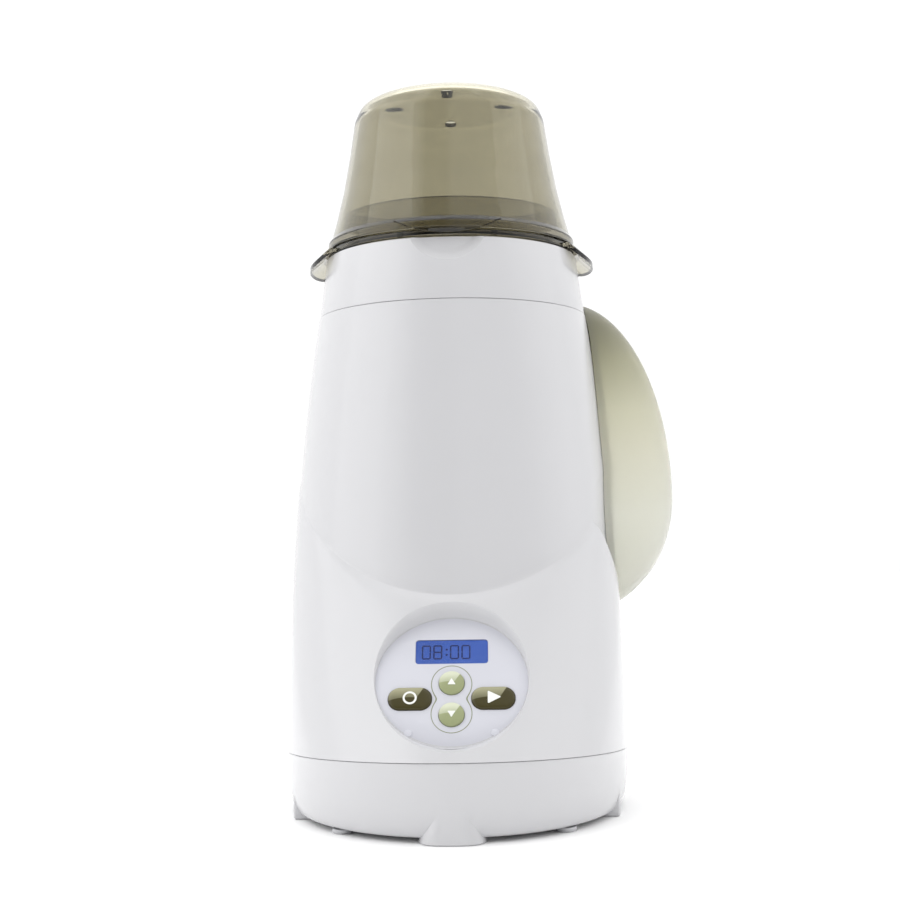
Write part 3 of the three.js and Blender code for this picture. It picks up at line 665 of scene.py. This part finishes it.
def makeCollar():
    low, high = collar["low"], collar["high"]
    profile = rounded([
        (53.7, 197, 0.3), (53.7, low, 0), (collar["lowRadius"], low, 0.35), (53.42, high, 0.9),
        (50.6, high, 0.3), (50.6, 225, 0.2), (47.2, 225, 0.3), (47.2, 222.6, 0.3), (52, 217.5, 0.8),
        (52, 197, 0.3)])
    piece = spun("tower_collar", profile, 200)
    cut(piece, notchTool())
    tip = cut(eggSolid("tip", egg, collar["tipClear"]), pillar("tip", 55.5, 60, 240, sides=128))
    cut(piece, tip)
    smooth(piece, 30)
    paint(piece, finishes["glossWhite"])
    settle(piece, "housing", "top_collar")


skirt = {
    "floor": 2, "noseY": -88, "sideLeg": (59.3, -40, 7), "sideLegSize": (9, 14, 14),
    "screws": [(-46, -56), (46, -56), (-37.2, 41.8), (37.2, 41.8)],
    "feet": [(-41.5, -73), (41.5, -73), (-28, 54), (28, 54)],
}


def skirtSkin(name, rows):
    def place(bearing, row):
        inset, level, fromSeam = rows[row]
        return around(bearing, basePlanRadius(bearing) - inset, level + (seamHeight(bearing) if fromSeam else 0))
    return wrapped(name, 180, len(rows) - 1, place)


def noseLeg():
    # A bell-shaped foot that grows out of the skirt's front.
    rows = [  # height, half width, how far its face is in front of the middle
        (0, 11.6, 11.7), (0.5, 12.3, 12.3), (2.5, 11.8, 12.25), (5, 10.7, 12.0), (8, 9.6, 11.75),
        (11, 8.8, 11.55), (14, 8.2, 11.4), (17, 7.8, 11.2), (19, 7.6, 10.9)]

    def place(turn, row):
        z, half, ahead = rows[row]
        c, s = math.cos(turn), math.sin(turn)
        x = half * math.copysign(abs(c) ** 0.62, c)
        y = ahead * math.copysign(abs(s) ** 0.62, s)
        return Vector((x, skirt["noseY"] + y, z))
    return wrapped("nose", 72, len(rows) - 1, place)


def makeTray():
    tray = skirtSkin("base_skirt", [
        (5.6, 2, 0), (4.6, 2.05, 0), (3.7, 2.45, 0), (3, 3.2, 0), (2.2, 4.8, 0), (1.5, 7, 0), (0.85, 10.5, 0),
        (0.4, 14, 0), (0.1, -3.4, 1), (0, -0.7, 1), (0.08, -0.3, 1), (0.3, -0.1, 1),
        (3.1, -0.1, 1), (4.7, 2.2, 1)])
    legs = noseLeg()
    for side in (-1, 1):
        bpy.ops.object.select_all(action="DESELECT")
        bpy.ops.mesh.primitive_cube_add(size=1)
        leg = named("leg")
        x, y, z = skirt["sideLeg"]
        placeBy(leg, Matrix.Translation((x * side, y, z)) @ Matrix.Diagonal((*skirt["sideLegSize"], 1)))
        useModifier(leg, "BEVEL", width=1.1, segments=4)
        join(legs, leg)
    for x, y in skirt["screws"]:
        join(legs, pillar("boss", 6, skirt["floor"] + 0.01, 9.4, x, y, 40))
    inner = skirtSkin("inner", [(7.2, 4.4, 0), (5.4, 9, 0), (6.2, 4, 1)])
    cut(tray, inner)
    cut(tray, legs, "UNION")
    holes = None
    for x, y in skirt["screws"]:
        hole = pillar("hole", 3.6, 1, 6.4, x, y, 40)
        bore = pillar("bore", 1.9, 6.3, 12, x, y, 32)
        holes = join(hole, bore) if holes is None else join(holes, hole, bore)
    cut(tray, holes)
    smooth(tray, 32)
    paint(tray, finishes["glossWhite"])
    settle(tray, "housing", "base_tray")


def makeFeet():
    outline = rounded([(0, 0, 0), (4, 0, 1.1), (4, 1.7, 0.25), (0, 1.7, 0)], 6)
    for i, (x, y) in enumerate(skirt["feet"], 1):
        foot = spun(f"round_foot_{i}", outline, 48)
        placeBy(foot, Matrix.Translation((x, y, 0)))
        smooth(foot)
        paint(foot, finishes["footGloss"])
        settle(foot, "housing", f"rubber_foot_{i}")


def makeBushing():
    # The cord's bushing in the back wall: a flange, then rings of grip.
    outline = [(3.2, 62), (5, 62), (5, 70.3), (7.5, 70.3)]
    outline += rounded([(7.5, 70.3, 0), (7.5, 72.8, 0.9), (3.2, 72.8, 0.5), (3.2, 62, 0)], 4)[1:-1]
    bushing = spun("cord_bushing_ring", outline, 64)
    placeBy(bushing, cordFrame)
    smooth(bushing)
    paint(bushing, finishes["rubber"])
    settle(bushing, "housing", "cord_bushing")


# ---- control panel

def onPanel(piece, u=0, v=0):
    return placeBy(piece, panelFrame @ Matrix.Translation((u, v, 0)))


def band(name, outer, inner, bottom, top):
    # A flat closed line between two outlines with the same number of points.
    loops = [(outer, bottom), (outer, top), (inner, top), (inner, bottom), (outer, bottom)]
    count = len(outer)

    def place(turn, row):
        outline, height = loops[row]
        x, y = outline[round(turn / (2 * math.pi) * count) % count]
        return Vector((x, y, height))
    return wrapped(name, count, 4, place)


def panelOval(name, grow, bottom, top):
    outline = ovalOutline(panel["halfX"] + grow, panel["halfY"] + grow, 144, 0, panel["middleV"])
    return plate(name, outline, bottom, top)


def makeFascia():
    low = -panel["thick"]
    face = panelOval("fascia", 0.52, low, 0)
    useModifier(face, "BEVEL", width=0.06, segments=2, limit_method="ANGLE", angle_limit=math.radians(40))
    x, y, width, height = panel["display"]
    holes = plate("window", pillOutline(width + 0.16, height + 0.16, 1.28, x, y), -4, 4)
    for name, u, v, pill in buttonSpots():
        outline = ovalOutline(4.9, 4.9, 64, u, v)
        if pill:
            outline = pillOutline(panel["pillWidth"] + 0.36, panel["pillHeight"] + 0.36, 4.67, u, v, 16)
        join(holes, plate("hole", outline, -4, 4))
    cut(face, holes)
    smooth(face, 30)
    paint(face, finishes["satinGrey"])
    settle(onPanel(face), "housing", "panel_face")

    # A white rim closes the slit between the fascia and the well's wall.
    rim = panelOval("fascia_rim", 1.4, low, 0.1)
    cut(rim, panelOval("hole", 0.5, low - 1, 1))
    smooth(rim, 30)
    paint(rim, finishes["glossWhite"])
    settle(onPanel(rim), "housing")


def figureEight(radius, count=160):
    # One line round both lobes, with a soft waist.
    spread = 0.955 * (panel["upV"] - panel["downV"]) / 2
    middle = (panel["upV"] + panel["downV"]) / 2
    points = []
    for i in range(count):
        turn = 2 * math.pi * i / count
        c, s = math.cos(turn), math.sin(turn)
        reach = spread * math.sqrt(s * s + 0.1) + math.sqrt(radius ** 2 - (spread * c) ** 2)
        points.append((reach * c, middle + reach * s))
    return points


def makePrints():
    top, bottom = 0.06, -0.05
    lines = band("printed_lines", figureEight(7.3), figureEight(7.02), bottom, top)
    for side in (-1, 1):
        boss = spun("boss", rounded([(0, -0.1, 0), (1.5, -0.1, 0), (1.5, 0.35, 0.3), (0, 0.42, 0)], 4), 40)
        placeBy(boss, Matrix.Translation((side * 15.9, -21.9, 0)))
        smooth(boss)
        paint(boss, finishes["satinGrey"])
        boss.name = f"fascia_boss_{'left' if side < 0 else 'right'}"
        settle(onPanel(boss), "housing")
    paint(lines, finishes["printLine"])
    settle(onPanel(lines), "housing")


def roundButton(name):
    side = panel["roundRadius"]
    outline = rounded([(0, -0.7, 0), (side, -0.7, 0), (side, 0.75, 0.45), (2.6, 1.2, 2), (0, 1.3, 0)], 5)
    return spun(name, outline, 72)


def pillButton(name):
    width, height = panel["pillWidth"], panel["pillHeight"]
    steps = [(0, -0.7), (0, 0.25), (0.08, 0.5), (0.3, 0.75), (0.7, 0.95), (1.4, 1.08), (2.6, 1.14)]  # inset, height
    outlines = [
        pillOutline(width - 2 * inset, height - 2 * inset, height / 2 - inset - 0.01, steps=16)
        for inset, _ in steps]
    count = len(outlines[0])

    def place(turn, row):
        x, y = outlines[row][round(turn / (2 * math.pi) * count) % count]
        return Vector((x, y, steps[row][1]))
    return wrapped(name, count, len(steps) - 1, place)


def makeButtons():
    triangle = rounded([(-1.5, -1.05, 0.15), (1.5, -1.05, 0.15), (0, 1.5, 0.15)], 3)
    outlines = {
        "up": triangle, "down": [(-x, -y) for x, y in triangle],
        "start": [(1.95 * y, -1.75 * x) for x, y in triangle]}
    for name, u, v, pill in buttonSpots():
        part = name.split("_")[1]
        button = pillButton(f"{part}_key") if pill else roundButton(f"{part}_key")
        if part == "stop":
            mark = band("mark", ovalOutline(2.6, 2.6, 56), ovalOutline(1.85, 1.85, 56), 0.9, 1.24)
        else:
            mark = plate("mark", outlines[part], 0.9, 1.24 if pill else 1.38)
        smooth(button, 40)
        paint(button, finishes["olive" if pill else "sage"])
        paint(mark, finishes["iconWhite"])
        stem = pillar("stem", 2.3, -6.4, -0.6, sides=32)
        paint(stem, finishes["olive" if pill else "sage"])
        join(button, stem, mark)
        settle(onPanel(button, u, v), f"{part}_button", name)


digits = {  # the sizes of one digit's bars, and where each digit stands
    "wide": 2.9, "tall": 5.4, "thick": 0.55, "gap": 0.12,
    "text": "0800", "starts": (-9.6, -5.3, 1.0, 5.3), "dotX": -1.95, "bottom": -0.52, "top": -0.46,
}


def makeDisplay():
    x, y, width, height = panel["display"]
    face = plate("display_face", pillOutline(width - 0.1, height - 0.1, 1.1, x, y), -1.55, -0.5)
    paint(face, finishes["display"])
    settle(onPanel(face), "housing")
    wide, tall, thick, bottom, top = (digits[key] for key in ("wide", "tall", "thick", "bottom", "top"))
    bars = {  # each bar's middle and whether it lies flat
        "a": (0, tall / 2, True), "g": (0, 0, True), "d": (0, -tall / 2, True),
        "f": (-wide / 2, tall / 4, False), "b": (wide / 2, tall / 4, False),
        "e": (-wide / 2, -tall / 4, False), "c": (wide / 2, -tall / 4, False)}
    shown = {"0": "abcdef", "8": "abcdefg"}
    bar = None
    for digit, start in zip(digits["text"], digits["starts"]):
        for key in shown[digit]:
            dx, dy, flat = bars[key]
            long = (wide if flat else tall / 2) - 2 * digits["gap"]
            w, h = (long / 2, thick / 2) if flat else (thick / 2, long / 2)
            corners = ((-w, -h), (w, -h), (w, h), (-w, h))
            one = plate("display_digits", [(start + dx + u, y + dy + v) for u, v in corners], bottom, top)
            bar = one if bar is None else join(bar, one)
    for dot in (-1.1, 1.1):
        join(bar, plate("dot", pillOutline(0.75, 0.75, 0.1, digits["dotX"], y + dot, 2), bottom, top))
    paint(bar, finishes["digits"])
    settle(onPanel(bar), "housing")
    lens = plate("display_window_pane", pillOutline(width, height, 1.2, x, y), -0.42, -0.08)
    useModifier(lens, "BEVEL", width=0.1, segments=2, limit_method="ANGLE", angle_limit=math.radians(40))
    smooth(lens)
    paint(lens, finishes["lens"])
    settle(onPanel(lens), "housing", "display_lens")


# ---- water tank

tank = {
    "wall": 2.2, "gap": 0.4, "spineTop": 96, "neckRadius": 6, "boreRadius": 4.7,
    "limitLow": 66, "limitTop": 214, "limitTopRadius": 56.5,
}


def tankLimit(grow):
    # The space that the housing and collar take, no wider than the pocket's back.
    side, rim, low, high = housing["creaseRadius"], housing["collarSeam"], tank["limitLow"], tank["limitTop"]
    heights = [low + i * (rim - low) / 40 for i in range(41)] + [206, 210, high]

    def place(bearing, row):
        z = heights[row]
        seamRadius = min(housingRadius(bearing, min(z, rim)), side)
        if z <= rim:
            radius = seamRadius
        else:
            radius = seamRadius + (tank["limitTopRadius"] - seamRadius) * (z - rim) / (high - rim)
        return around(bearing, radius + grow, z)
    return wrapped("limit", 160, len(heights) - 1, place)


def makeTank():
    wall, gap, spineTop = tank["wall"], tank["gap"], tank["spineTop"]
    body = cut(eggSolid("tank_body", egg, 0, 128, 96), tankLimit(gap))
    bottom = dock["floor"] + 1.2
    spine = placeBy(pillar("spine", dock["spine"], bottom, spineTop), dockFrame)
    cut(spine, eggSolid("egg", egg), "INTERSECT")
    neck = placeBy(pillar("neck", tank["neckRadius"], 5, 16, sides=48), dockFrame)
    cut(spine, neck, "UNION")
    cut(body, spine, "UNION")
    hollow = cut(eggSolid("hollow", egg, -wall), tankLimit(gap + wall))
    hollowSpine = placeBy(pillar("spine", dock["spine"] - wall, bottom + wall, spineTop - 4), dockFrame)
    cut(hollowSpine, eggSolid("egg", egg, -wall), "INTERSECT")
    cut(hollow, hollowSpine, "UNION")
    cut(hollow, placeBy(pillar("bore", tank["boreRadius"], 0, 20, sides=40), dockFrame), "UNION")
    cut(body, hollow)
    smooth(body, 30)
    paint(body, finishes["frosted"])
    settle(body, "tank", "water_tank")


# ---- basket and lid

def paintShadeBand(piece, *bands, reach=99):
    # The thick rims of clear plastic get a darker tint: partly for their thickness, partly painted shade for the
    # dark surroundings seen through them.
    paint(piece, finishes["smoky"], finishes["smokyRimShade"])
    for face in piece.data.polygons:
        inBand = any(low < face.center.z < high for low, high in bands)
        face.material_index = int(inBand or face.center.xy.length > reach)


def turned(piece, degrees):
    return placeBy(piece, Matrix.Rotation(math.radians(degrees), 4, "Z"))


basket = {
    "floor": 100, "top": 231.6, "ringTop": 246, "slots": 6, "slotHeight": 152,
    "clipTurn": 21, "clipHeight": 230.2, "earTurn": 0.37,
}


def makeBasket():
    floor, top, ringTop = basket["floor"], basket["top"], basket["ringTop"]
    cup = spun("bottle_basket", rounded([
        (0, floor, 0), (36.9, floor, 1.2), (43.4, 128, 14), (43.4, top - 2.6, 0.8), (52.6, top - 2.6, 0.5),
        (52.6, top, 0.7), (46.4, top, 0.9), (46.2, ringTop, 0.7), (44.6, ringTop, 0.5), (44.4, top, 1),
        (41.8, top - 3, 2), (41.8, 128.5, 14), (36.2, floor + 2, 0.8), (0, floor + 2, 0)], 4), 160)
    ears = spun("ears", rounded([
        (50, top - 2.4, 0), (54.3, top - 2.4, 3), (61.6, 222.6, 0.4), (62.4, 223.5, 0.4), (55, top - 0.6, 3),
        (50, top - 0.6, 0)], 5), 200)
    turned(ears, basket["earTurn"])  # keeps its corners off the cup's, where fusing the two can fail
    ovals = None
    for side in (-1, 1):
        oval = plate("oval", ovalOutline(10.8, 24, 72, 50 * side), 215, 235)
        ovals = oval if ovals is None else join(ovals, oval)
    cut(ears, ovals, "INTERSECT")
    cut(cup, ears, "UNION")
    holes = pillar("hole", 7, floor - 2, floor + 4)
    for i in range(basket["slots"]):
        angle = 360 / basket["slots"] * (i + 0.5)
        slot = plate("slot", pillOutline(6, 36, 2.9, steps=8), 36, 48)
        placeBy(slot, Matrix.Translation((0, 0, basket["slotHeight"])) @ sideways)
        join(holes, turned(slot, angle), turned(pillar("hole", 4, floor - 2, floor + 4, 22, 0, 32), angle))
    cut(cup, holes)
    smooth(cup, 30)
    paintShadeBand(cup, (227.5, 232.2), (244.9, 247))
    settle(cup, "basket_body", "basket")
    for side in (-1, 1):
        clip = plate(f"basket_clip_{'left' if side < 0 else 'right'}", pillOutline(2.2, 2, 0.4), 51.4, 52.9)
        placeBy(clip, Matrix.Translation((0, 0, basket["clipHeight"])) @ sideways)
        turned(clip, -90 + basket["clipTurn"] * side)
        # painted shade: the clips take the darker rim tint
        paint(clip, finishes["smokyRimShade"])
        settle(clip, "basket_body")


lid = {"rim": 232, "top": 298, "wall": 1.8, "lipLow": 229.7, "smileRadius": 40.4, "vents": 4, "ventRadius": 23.9}


def makeLid():
    rim, top, wall, low, smileRadius = (lid[key] for key in ("rim", "top", "wall", "lipLow", "smileRadius"))
    outline = [
        (52.8, rim, 0.2), (52.8, 235.3, 0.7), (51.4, 237, 1.2), (49.2, 245, 25), (46.1, 258, 60),
        (43.2, 274, 60), (41.1, 288.3, 10), (38.7, 294.2, 7), (33.2, 297.2, 14), (0, top, 0)]
    inner = [
        (0, top - wall, 0), (32.6, 295.4, 10), (37, 292.8, 6), (39.3, 287.5, 9), (41.4, 273.3, 60),
        (44.3, 257.3, 60), (47.4, 244.3, 25), (49.6, 236.3, 1), (50.2, 235, 0.4), (51, rim, 0.2)]
    dome = spun("domed_lid", rounded(outline + inner, 5), 200)
    lip = spun("lip", rounded([
        (53.2, low, 0.3), (54.8, low + 0.2, 0.6), (55.2, 234.6, 0.8), (54.2, 236, 1), (52, 236, 0),
        (52, 232.6, 0), (53.2, 232.6, 0.3)], 4), 200)
    smile = pillar("smile", smileRadius, 30, 70, sides=160)
    placeBy(smile, Matrix.Translation((0, 0, low + smileRadius)) @ Matrix.Rotation(quarterTurn, 4, "X"))
    cut(lip, smile, "INTERSECT")
    cut(dome, lip, "UNION")
    vents = None
    for i in range(lid["vents"]):
        vent = plate("vent", pillOutline(8, 5, 2.4, lid["ventRadius"], 0, 10), top - 6, top + 4)
        turned(vent, 360 / lid["vents"] * i)
        vents = vent if vents is None else join(vents, vent)
    cut(dome, vents)
    smooth(dome, 30)
    paintShadeBand(dome, (231, 236.6), reach=53.3)
    settle(dome, "lid_body", "lid")


def finishNodes():
    nodeFinishes = {
        "aluminium": ["heating_well", "heating_plate"],
        "steel": ["heating_element", "valve_spring", "base_screw_", "board_screw_", "power_screw_"],
        "silicone": ["well_gasket", "thermal_fuse", "feed_tube", "dock_seat", "cap_gasket", "valve_seal"],
        "black": ["thermostat", "tank_cap", "valve_stem", "switch_", "capacitor"],
        "board": ["control_board", "power_board"],
        "display": ["lcd_module"], "tape": ["transformer"], "relay": ["relay"],
    }
    for name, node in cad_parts.items():
        for key, starts in nodeFinishes.items():
            if any(name.startswith(start) for start in starts):
                for slot in node.material_slots:
                    slot.material = finishes[key]


makeBodyShell()
print("housing made")
makeCollar()
makeTray()
makeFeet()
makeBushing()
print("collar and base made")
makeFascia()
makePrints()
makeButtons()
makeDisplay()
print("panel made")
makeTank()
print("tank made")
makeBasket()
makeLid()
print("basket and lid made")
finishNodes()


# ---- floor, light and camera

view = {"distance": 620, "height": 106.3, "turn": 1.75, "pitch": 3.75, "pan": 0.17, "roll": -0.9, "lens": 58}


def makeStage():
    bpy.ops.object.select_all(action="DESELECT")
    bpy.ops.mesh.primitive_circle_add(vertices=96, radius=4, fill_type="NGON", location=(0, 0, 0))
    floor = named("floor")
    startEdit(floor)
    bpy.ops.mesh.inset(thickness=1.5)
    bpy.ops.object.mode_set(mode="OBJECT")

    def pale(start):
        cloud = start.noise(400, 2.0)
        return dict(Base_Color=cloud.mix((0.93, 0.93, 0.93), (0.96, 0.96, 0.96)), Roughness=0.7 + 0.1 * cloud,
                    Specular_IOR_Level=0.2)
    paint(floor, finish("pale_floor", pale))


def areaLight(name, place, aim, size, power):
    bpy.ops.object.light_add(type="AREA", location=Vector(place))
    lamp = bpy.context.object
    lamp.name = name
    lamp.data.shape = "RECTANGLE"
    lamp.data.size, lamp.data.size_y = size
    lamp.data.energy = power
    lamp.rotation_euler = (Vector(aim) - Vector(place)).to_track_quat("-Z", "Y").to_euler()


light = {
    # How bright the tent is towards each bearing from the camera, in degrees, and how much more overhead.
    "bearings": [
        (-180, 1.03), (-95, 1.05), (-40, 1.0), (-26, 0.08), (-4, 0.08), (5, 0.45), (60, 0.62), (100, 1.0),
        (180, 1.03)],
    "top": 0.72,
    "softboxes": [  # name, place, aim, size, power
        ("left_softbox", (-0.9, -0.35, 0.55), (0, 0, 0.14), (0.8, 1.0), 1.5),
        ("right_softbox", (0.95, -0.2, 0.5), (0, 0, 0.14), (0.7, 1.0), 0.8),
        ("top_softbox", (0, 0.1, 1.2), (0, 0, 0.1), (1.0, 1.0), 1.5)],
}


def makeLight():
    # A bright tent with a dark gap beside the camera.
    world = bpy.data.worlds.new("studio")
    bpy.context.scene.world = world
    world.use_nodes = True
    tree = world.node_tree
    tree.nodes.clear()
    start = Wire(tree)
    way = start.node("ShaderNodeTexCoord", output=0)
    x, y, z = (start.node("ShaderNodeSeparateXYZ", output=i, Vector=way) for i in range(3))
    bearing = x.sum("ARCTAN2", x, 0 - y)
    share = bearing / (2 * math.pi) + 0.5
    sides = share.ramp(*[(turn / 360 + 0.5, (level, level, level)) for turn, level in light["bearings"]])
    strength = sides + light["top"] * z.step(0.05, 0.9)
    output = tree.nodes.new("ShaderNodeOutputWorld")
    background = start.node("ShaderNodeBackground", Color=(1, 1, 1), Strength=strength)
    tree.links.new(background.socket, output.inputs["Surface"])
    for softbox in light["softboxes"]:
        areaLight(*softbox)


def makeCamera():
    bpy.ops.object.camera_add()
    camera = bpy.context.object
    camera.name = "camera"
    turn = Matrix.Rotation(math.radians(view["turn"]), 4, "Z")
    back = Matrix.Translation((0, -view["distance"] * mm, view["height"] * mm))
    tilt = Matrix.Rotation(math.radians(90 + view["pitch"]), 4, "X")
    roll = Matrix.Rotation(math.radians(view["roll"]), 4, "Z")
    pan = Matrix.Rotation(math.radians(view["pan"]), 4, "Z")
    camera.matrix_world = Matrix.Translation(towerAxis) @ turn @ back @ pan @ tilt @ roll
    camera.data.lens = view["lens"]
    camera.data.sensor_width = 36
    camera.data.clip_start = 0.01
    bpy.context.scene.camera = camera


makeStage()
makeLight()
makeCamera()
bpy.context.scene.view_settings.view_transform = "Standard"
